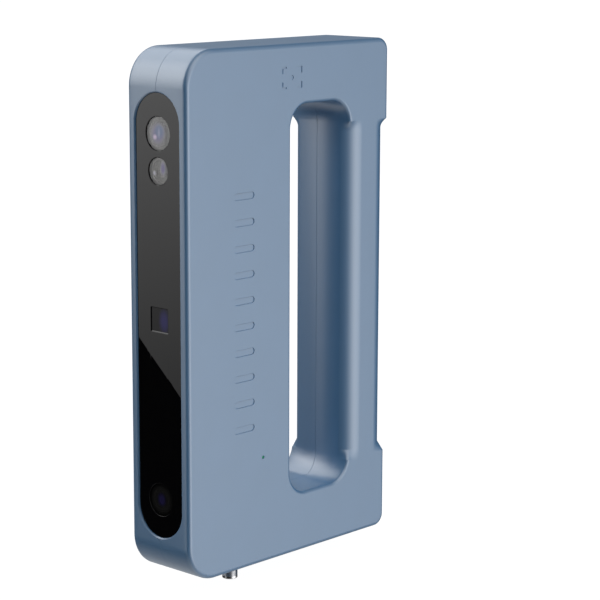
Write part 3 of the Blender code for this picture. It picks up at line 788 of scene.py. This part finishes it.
def edge_loops(points, inward, wall, plain, arc, crown):
    """Loops from the parting plane up a wall and round its edge, wall thick below the outside surface.

    The arc and the crown are only on the rear side of the outline, and the arc runs out along it.
    """
    face, steps = (HALF - wall, INSIDE_STEPS) if wall else (HALF, OUTSIDE_STEPS)
    inner_plain = max(plain - wall, LEAST_EDGE)
    whole_arc, no_arc = (arc[0] - wall, arc[1] - wall), (inner_plain, inner_plain)
    foot, head = RUNOUTS[0], RUNOUTS[-1]
    columns = []
    for y, z, normal in points:
        swell = crown * max(0.0, normal[0]) ** 2
        arced = normal[0] > 0.5 and foot - NEAR_EDGE < z < head + NEAR_EDGE
        column = []
        if not wall:
            column = [(SEAM + SEAM_ROUND * (1 - math.cos(t)), SEAM_ROUND * (1 - math.sin(t)) - swell)
                      for t in quarter_turn(3)[:-1]]
        column += edge_profile(face, inner_plain, whole_arc if arced else no_arc, swell, arc_share(z), steps)
        columns.append([(x, y + inward * inset * normal[0], z + inward * inset * normal[1])
                        for x, inset in column])
    return list(zip(*columns))


def housing_loops(wall):
    front, rim = (FRONT_WALL, RIM_WALL) if wall else (0.0, 0.0)
    points = outline((front, DEPTH - rim), (rim, HEIGHT - rim), FRONT_CORNER - rim, REAR_CORNER - rim)
    return edge_loops(points, -1, wall, EDGE, REAR_ARC, 0.0)


def opening_loops(wall):
    corner = OPENING_CORNER + wall
    points = outline((OPENING_FRONT - wall, GRIP_FRONT + wall), (OPENING_Z[0] - wall, OPENING_Z[1] + wall),
                     corner, corner)
    return edge_loops(points, 1, wall, OPENING_EDGE, GRIP_ARC, GRIP_CROWN)


def half_shell():
    """One half of the housing on the +X side, hollow and open at the parting plane."""
    bm = bmesh.new()

    def strip(first, second):
        for i in range(len(first)):
            j = (i + 1) % len(first)
            bm.faces.new((first[i], first[j], second[j], second[i]))

    def surface(loops):
        rows = [[bm.verts.new(point) for point in loop] for loop in loops]
        for first, second in zip(rows, rows[1:]):
            strip(first, second)
        return rows[0], rows[-1]

    rims = []
    for wall in (0.0, WALL):
        outer_rim, outer_top = surface(housing_loops(wall))
        inner_rim, inner_top = surface(opening_loops(wall))
        flat = outer_top + inner_top
        polygon = [[Vector((v.co.y, v.co.z, 0)) for v in loop] for loop in (outer_top, inner_top)]
        for triangle in tessellate_polygon(polygon):
            bm.faces.new([flat[i] for i in triangle])
        rims.append((outer_rim, inner_rim))
    for outside, inside in zip(*rims):
        strip(outside, inside)
    return closed(bm)


def window_loop(grow):
    return obround(MIDDLE, 0.0, WINDOW_HALF_HEIGHT + grow, WINDOW_HALF + grow, 32)


def ledge_loop():
    """The opening behind the window, which leaves a ledge for it to sit on."""
    inset = WINDOW_HALF - LEDGE_HALF
    return obround(MIDDLE, 0.0, WINDOW_HALF_HEIGHT - inset, LEDGE_HALF, 32)


def shell_body(name):
    """Half a housing with its recess for the window, and its holes for the socket and the keys."""
    shell = raw(name, half_shell())
    cut(shell, mouth(window_loop, "Y", 0.0, RECESS_DEPTH, RECESS_EDGE, steps=1))
    cut(shell, stacked([(RECESS_DEPTH - 1.5, [ledge_loop()]), (FRONT_WALL + 1.0, [ledge_loop()])], "Y"))
    socket, scan, key = centre_of("socket_barrel"), centre_of("scan_button"), centre_of("brighter_key")
    inner = DEPTH - RIM_WALL - 1.0
    cut(shell,
        mouth(lambda grow: circle(0, socket.y, SOCKET_HOLE + grow, 48), "Z", 0.0, RIM_WALL + 1.0, HOLE_EDGE),
        mouth(lambda grow: circle(scan.z, 0, SCAN_HOLE + grow, 64), "Y", DEPTH, inner, SCAN_HOLE_EDGE),
        mouth(lambda grow: circle(key.z, key.x, KEY_HOLE + grow, 40), "Y", DEPTH, inner, HOLE_EDGE))
    return shell


def icon_cutters():
    """Four viewfinder corners and a dot, a plain sign for scanning."""
    solids = []
    y, z = ICON_CENTRE
    for to_y in (-1, 1):
        for to_z in (-1, 1):
            corner = (y + to_y * ICON_HALF[0], z + to_z * ICON_HALF[1])
            arm_y, arm_z = corner[0] - to_y * ICON_ARM, corner[1] - to_z * ICON_ARM
            in_y, in_z = corner[0] - to_y * ICON_HALF_LINE * 2, corner[1] - to_z * ICON_HALF_LINE * 2
            loop = [corner, (arm_y, corner[1]), (arm_y, in_z),
                    (in_y, in_z), (in_y, arm_z), (corner[0], arm_z)]
            solids.append(stacked([(HALF - ICON_DEPTH, [loop]), (HALF + 1.0, [loop])], "X"))
    solids.append(mouth(lambda grow: circle(y, z, ICON_DOT + grow, 24),
                        "X", HALF, HALF - ICON_DEPTH, ICON_DOT_EDGE))
    return solids


def right_shell():
    """The half with the engraved bars, the scanning sign and the status light's hole."""
    shell = shell_body("right_shell_fine")
    first = MIDDLE - BAR_PITCH * (BAR_COUNT - 1) / 2
    bars = []
    for i in range(BAR_COUNT):
        z = first + i * BAR_PITCH
        # The slot is drawn along its first coordinate, which is Y on a side face.
        bars.append(mouth(lambda grow, z=z: obround(BAR_Y, z, BAR_HALF_LENGTH + grow, BAR_R + grow, 16),
                          "X", HALF, HALF - BAR_DEPTH, BAR_EDGE))
    status = centre_of("light_pipe")
    light = mouth(lambda grow: circle(status.y, status.z, PIPE_HOLE + grow, 24),
                  "X", HALF, HALF - WALL - 1.0, PIPE_HOLE_EDGE)
    cut(shell, *bars, *icon_cutters(), light)
    finished(shell, "shell", ["right_shell"])


def shell_screws():
    return sorted(name for name in frame["nodes"] if name.startswith("shell_screw_"))


def left_shell():
    """The half with the screws. It is made on the +X side and then mirrored."""
    shell = shell_body("left_shell_fine")
    places = [centre_of(name) for name in shell_screws()]
    unite(shell, *[rod(SCREW_BOSS, "X", (0, p.y, p.z), SEAM, HALF - 1.2) for p in places])
    wide = COUNTERBORE + COUNTERBORE_EDGE
    lip = [(wide - COUNTERBORE_EDGE * math.sin(t), HALF - COUNTERBORE_EDGE * (1 - math.cos(t)))
           for t in quarter_turn(3)]
    profile = [(0, HALF + 1.0), (wide, HALF + 1.0), *lip, (COUNTERBORE, SEAT), (SCREW_HOLE, SEAT),
               (SCREW_HOLE, -1.0), (0, -1.0)]
    cut(shell, *[turned(profile, "X", (0, p.y, p.z), 40) for p in places])
    shell.data.transform(Matrix.Scale(-1, 4, (1, 0, 0)))
    shell.data.flip_normals()
    finished(shell, "shell", ["left_shell"])


# ---- Window and optics ---------------------------------------------------------------------------

def apertures(grow):
    """The window's holes as (z, x) loops, each grown."""
    upper, texture, lower = (centre_of(name + "_camera_glass").z for name in CAMERA_GLASSES)
    square = centre_of("projector_glass").z
    return [circle(upper, 0, CAMERA_APERTURE + grow, 64),
            circle(texture, 0, TEXTURE_APERTURE + grow, 56),
            rounded_square(square, 0, PROJECTOR_APERTURE / 2 + grow, 0.5 + grow),
            circle(lower, 0, CAMERA_APERTURE + grow, 64)]


def stepped_glass(node, loop_at, reach, lap):
    """A cover glass whose middle stands up into its aperture, with a wider rim behind the pane."""
    high = span_of(node, 1)[1]
    pane = span_of("front_window", 1)
    front, shoulder = pane[0] + GLASS_RECESS, pane[1] + 0.05
    levels = [(front, reach - GLASS_EDGE), (front + GLASS_EDGE, reach), (shoulder, reach),
              (shoulder, reach + lap), (high, reach + lap)]
    solid = stacked([(height, [loop_at(size)]) for height, size in levels], "Y")
    return build(node, solid, FINISH_OF[node])


def front_window():
    """The black pane, with a sloping sill along the projector aperture's lower side."""
    low, high = span_of("front_window", 1)
    plate = soft_plate(lambda grow: [window_loop(-WINDOW_GAP - grow), *apertures(grow)],
                       "Y", low, high, WINDOW_EDGE)
    pane = build("front_window", plate, "window")
    half = PROJECTOR_APERTURE / 2
    side = centre_of("projector_glass").z - half
    back = low + GLASS_RECESS - 0.02
    sill = [(low + 0.05, side - 0.2), (back, side - 0.2), (back, side + SILL)]
    unite(pane, stacked([(-half - 0.1, [sill]), (half + 0.1, [sill])], "X"))


def camera_glasses():
    for prefix, (radius, tint, painted_glints) in CAMERA_GLASSES.items():
        node = prefix + "_camera_glass"
        z = centre_of(node).z
        rim = half_width(node) - 0.1
        cover = stepped_glass(node, lambda reach, z=z: circle(z, 0, reach, 64), radius - GLASS_GAP,
                              rim - radius + GLASS_GAP)
        # Painted reflections, highlights and shade, placed round this glass's centre.
        painted_spots = [((x, 0, z + rise), half_x, half_z, colour) for x, rise, half_x, half_z, colour in painted_glints]
        cover.data.materials[0] = glass_material(node, tint, CAMERA_GLASS_IOR, 1.0, painted_spots)


def projector_glass():
    node = "projector_glass"
    z = centre_of(node).z
    cover = stepped_glass(node, lambda reach: rounded_square(z, 0, reach, 0.6),
                          PROJECTOR_APERTURE / 2 - GLASS_GAP, GLASS_LAP)
    # A painted violet glow over the right of the projector glass, standing in for a reflection.
    glow = ((2.8, 0, z - 0.3), 4.4, 7.6, (0.025, 0.022, 0.12))
    cover.data.materials[0] = glass_material(node, (0.008, 0.008, 0.009), PROJECTOR_GLASS_IOR, 0.0, [glow])


def dome(radius, front, rise, back, steps=12):
    """A lens profile: a spherical front of the given rise, straight sides and a flat back."""
    sphere = (radius * radius + rise * rise) / (2 * rise)
    half_angle = math.asin(min(1.0, radius / sphere))
    angles = [half_angle * i / steps for i in range(1, steps + 1)]
    arc = [(sphere * math.sin(t), front + sphere * (1 - math.cos(t))) for t in angles]
    return [(0, front), *arc, (radius, back), (0, back)]


def lens(node, radius, rise):
    front, back = span_of(node, 1)
    solid = turned(dome(radius, front, rise, back), "Y", (0, 0, centre_of(node).z), 64)
    build(node, solid, "lens")


def lens_barrel(node, bore):
    """A barrel whose mouth steps down to its lens."""
    outer = half_width(node)
    front, back = span_of(node, 1)
    inner = bore + 0.12
    neck = outer * 6 / 7
    profile = [(outer, front + 0.2), (outer, front + 2.4), (neck, front + 2.4), (neck, back),
               (inner, back), (inner, front + 2.0), (inner + 0.5, front + 1.6), (inner + 0.5, front + 1.1),
               (inner + 1.0, front + 0.7), (inner + 1.0, front + 0.2), (outer - 0.3, front)]
    build(node, turned(profile, "Y", (0, 0, centre_of(node).z), 64, ring=True), "black_metal")


def optics():
    for prefix in CAMERA_GLASSES:
        radius = half_width(prefix + "_camera_lens")
        lens_barrel(prefix + "_camera_barrel", radius)
        lens(prefix + "_camera_lens", radius, rise=1.5)
    lens("projector_lens", radius=4.0, rise=1.4)


# ---- Socket, status light, screws and keys -------------------------------------------------------

def socket_barrel():
    """A steel barrel with fine thread rings for the plug's coupling nut, and a flange above them."""
    node = "socket_barrel"
    low, high = span_of(node, 2)
    rings = []
    for i in range(THREAD_COUNT):
        z = low + THREAD_START + THREAD_PITCH * i
        rings += [(SOCKET_R, z), (SOCKET_R - THREAD_DEPTH, z + 0.2), (SOCKET_R, z + 0.4)]
    rim = SOCKET_FLANGE - SOCKET_FLANGE_EDGE
    profile = [(SOCKET_BORE, low + 0.4), (SOCKET_BORE + 0.25, low), (SOCKET_R - 0.35, low),
               (SOCKET_R, low + 0.35), *rings, (SOCKET_R, low + 8.1), (rim, low + 8.1),
               (SOCKET_FLANGE, low + 8.3), (SOCKET_FLANGE, low + 9.2), (rim, low + 9.4),
               (SOCKET_R, low + 9.4), (SOCKET_R, high), (SOCKET_BORE, high)]
    build(node, turned(profile, "Z", (0, centre_of(node).y, 0), 64, ring=True), "steel")


def socket_insert():
    """The socket's black insert, with four contact holes."""
    node = "socket_insert"
    y = centre_of(node).y
    low, high = span_of(node, 2)
    radius, holes_at = 2.95, 1.4
    outside = softened([(0, low), (radius, low), (radius, high), (0, high)], 0.2)
    insert = raw(node + "_fine", turned(outside, "Z", (0, y, 0), 48))
    angles = [math.radians(45 + 90 * i) for i in range(4)]
    centres = [(holes_at * math.cos(t), y + holes_at * math.sin(t), 0) for t in angles]
    cut(insert, *[rod(0.45, "Z", centre, low - 1, low + 5, 16) for centre in centres])
    finished(insert, "black_plastic", [node])


def status_light():
    """A light pipe with a domed end, and a flange inside the wall."""
    low, high = span_of("light_pipe", 0)
    place = centre_of("light_pipe")
    dome_end = [(0.0, high), (0.45, high - 0.04), (PIPE_R, high - 0.2)]
    profile = [*dome_end, (PIPE_R, PIPE_SHOULDER), (PIPE_FLANGE, PIPE_SHOULDER), (PIPE_FLANGE, low), (0, low)]
    build("light_pipe", turned(profile, "X", (0, place.y, place.z), 32), "light")


def screw(node):
    """A socket-head screw, drawn on the line Y = 0, Z = 0."""
    head, tip = span_of(node, 0)
    neck = head + HEAD_HEIGHT
    outside = [(0, head), (HEAD_R, head), (HEAD_R, neck), (SCREW_R, neck), (SCREW_R, tip), (0, tip)]
    made = raw(node + "_fine", turned(softened(outside, 0.25), "X", (0, 0, 0), 32))
    hexagon = circle(0, 0, HEX_R, 6)
    cut(made, stacked([(head - 1, [hexagon]), (head + HEX_DEPTH, [hexagon])], "X"))
    return made


def screws():
    """The screws down the counterbores of the left side, all from one mesh."""
    nodes = shell_screws()
    first = screw(nodes[0])
    for node in nodes:
        made = first if node == nodes[0] else placed(node + "_fine", first.data)
        place = centre_of(node)
        made.location = (0, place.y * MM, place.z * MM)
        finished(made, "steel", [node])


def key_cap(node, radius, dish, mark):
    """A push key with a dished top and an engraved mark, on its own moving body."""
    place = centre_of(node)
    low, top = span_of(node, 1)
    flange = half_width(node)
    stem, edge, steps = (2.0, 0.55, 64) if radius > KEY_R else (1.2, 0.35, 48)
    inside = radius - edge
    rim = [(inside + edge * math.cos(t), top - edge + edge * math.sin(t)) for t in quarter_turn(6)]
    radii = [inside * i / 8 for i in range(7, 0, -1)]
    hollow = [(r, top - dish * (1 - (r / inside) ** 2)) for r in radii]
    front, rear = KEY_FLANGE
    profile = [(0, low), (stem, low), (stem, front), (flange, front), (flange, rear), (radius, rear),
               *rim, *hollow, (0, top - dish)]
    cap = raw(node + "_fine", turned(profile, "Y", (place.x, 0, place.z), steps))
    cut(cap, mark(place, top - dish - MARK_DEPTH, top + 1.0))
    finished(cap, "key", [node], body=node)


def bar_mark(width, height):
    return lambda p, low, high: block((p.x - width / 2, p.x + width / 2), (low, high),
                                      (p.z - height / 2, p.z + height / 2))


def ring_mark(outer, inner):
    return lambda p, low, high: turned([(outer, low), (outer, high), (inner, high), (inner, low)],
                                       "Y", (p.x, 0, p.z), 48, ring=True)


def plus_mark(length, width):
    def made(p, low, high):
        a, b = length / 2, width / 2
        loop = [(p.z + u, p.x + v) for u, v in ((a, -b), (a, b), (b, b), (b, a), (-b, a), (-b, b),
                                                (-a, b), (-a, -b), (-b, -b), (-b, -a), (b, -a), (b, -b))]
        return stacked([(low, [loop]), (high, [loop])], "Y")
    return made


def keys():
    key_cap("scan_button", SCAN_R, dish=0.45, mark=ring_mark(outer=2.6, inner=2.0))
    key_cap("brighter_key", KEY_R, dish=0.15, mark=plus_mark(length=2.4, width=0.5))
    key_cap("dimmer_key", KEY_R, dish=0.15, mark=bar_mark(width=2.4, height=0.5))


def dress_frame_nodes():
    """The CAD nodes that stay get a finish by their material slot."""
    for name, node in frame["nodes"].items():
        node.data.materials.clear()
        node.data.materials.append(FINISHES[FINISH_OF[name]])


# ---- Studio --------------------------------------------------------------------------------------

def card(name, corners):
    """A black studio card that only reflections see."""
    mesh = bpy.data.meshes.new(name)
    mesh.from_pydata([design_point(*corner) for corner in corners], [], [tuple(range(len(corners)))])
    made = placed(name, mesh)
    nodes = Nodes(name + "_finish")
    nodes.colour(nodes.mix(nodes.noise(20.0), (0.003, 0.003, 0.003), (0.005, 0.005, 0.005)))
    nodes.set(Roughness=1.0)
    nodes.shader.inputs["Specular IOR Level"].default_value = 0.0
    mesh.materials.append(nodes.material)
    made.visible_camera = False
    made.visible_diffuse = False
    made.visible_shadow = False


def floor():
    """A pale floor under the lowest point, so wide that its edge is out of sight."""
    low = CAD_BOUNDS[0].z
    reach = 60.0
    corners = [(-reach, -reach, low), (reach, -reach, low), (reach, reach, low), (-reach, reach, low)]
    mesh = bpy.data.meshes.new("floor")
    mesh.from_pydata(corners, [], [(0, 1, 2, 3)])
    made = placed("floor", mesh)
    nodes = Nodes("floor_finish")
    nodes.set(Roughness=0.9)
    nodes.shader.inputs["Base Color"].default_value = (0.12, 0.12, 0.12, 1)
    nodes.shader.inputs["Specular IOR Level"].default_value = 0.0
    nodes.shader.inputs["Emission Color"].default_value = (1, 1, 1, 1)
    nodes.shader.inputs["Emission Strength"].default_value = 0.97
    mesh.materials.append(nodes.material)
    # Only the camera sees it: the lamps named below and below_behind stand for its bounce.
    made.visible_glossy = False
    made.visible_diffuse = False
    made.visible_transmission = False


def softbox(name, towards, distance, size, power):
    """A soft lamp aimed at the middle of the housing, which doesn't show to the camera."""
    light = bpy.data.lights.new(name, "AREA")
    light.shape = "RECTANGLE"
    light.size, light.size_y = size
    light.energy = power
    made = placed(name, light)
    aim = design_point(0, DEPTH / 2, MIDDLE)
    made.location = aim + Vector(towards).normalized() * distance
    made.rotation_euler = (aim - made.location).to_track_quat("-Z", "Y").to_euler()
    made.visible_camera = False


def sky():
    """A soft studio surround: broad lamps, each a smooth lobe round its own direction."""
    world = bpy.data.worlds.new("studio")
    world.use_nodes = True
    tree = world.node_tree
    place = tree.nodes.new("ShaderNodeTexCoord").outputs["Generated"]
    total = None
    for name, azimuth, elevation, tightness, strength in LAMPS:
        facing = tree.nodes.new("ShaderNodeVectorMath")
        facing.name = name
        facing.operation = "DOT_PRODUCT"
        facing.inputs[1].default_value = direction(azimuth, elevation)
        tree.links.new(place, facing.inputs[0])
        lobe = facing.outputs["Value"]
        for operation, value in (("MAXIMUM", 0.0), ("POWER", tightness), ("MULTIPLY", strength)):
            lobe = calculate(tree, operation, lobe, value)
        total = lobe if total is None else calculate(tree, "ADD", total, lobe)
    background = tree.nodes["Background"]
    background.inputs["Color"].default_value = (1, 1, 1, 1)
    tree.links.new(total, background.inputs["Strength"])
    bpy.context.scene.world = world


def studio():
    bpy.context.scene.view_settings.view_transform = "Standard"
    sky()
    floor()
    softbox("key_light", towards=(-0.69, 0.03, 0.72), distance=1.6, size=(1.7, 0.6), power=5.2)
    # The card's slanting top edge is what the window mirrors as a diagonal.
    card("dark_card", ((-560, -411, 77), (-300, -411, -152), (-300, -411, -500), (-800, -411, -500),
                       (-800, -411, 289)))


def camera():
    """A camera that looks back along one direction. Its shift frames the housing off the centre."""
    back = direction(CAMERA_AZIMUTH, CAMERA_ELEVATION)
    data = bpy.data.cameras.new("camera")
    data.lens = CAMERA_LENS
    data.sensor_width = 36.0
    data.shift_x, data.shift_y = CAMERA_SHIFT
    data.clip_start, data.clip_end = 0.05, 200.0
    made = placed("camera", data)
    made.location = design_point(0, DEPTH / 2, MIDDLE) + back * CAMERA_DISTANCE * MM
    made.rotation_euler = (-back).to_track_quat("-Z", "Y").to_euler()
    bpy.context.scene.camera = made


dress_frame_nodes()
camera()
studio()
right_shell()
left_shell()
front_window()
camera_glasses()
projector_glass()
optics()
socket_barrel()
socket_insert()
status_light()
screws()
keys()
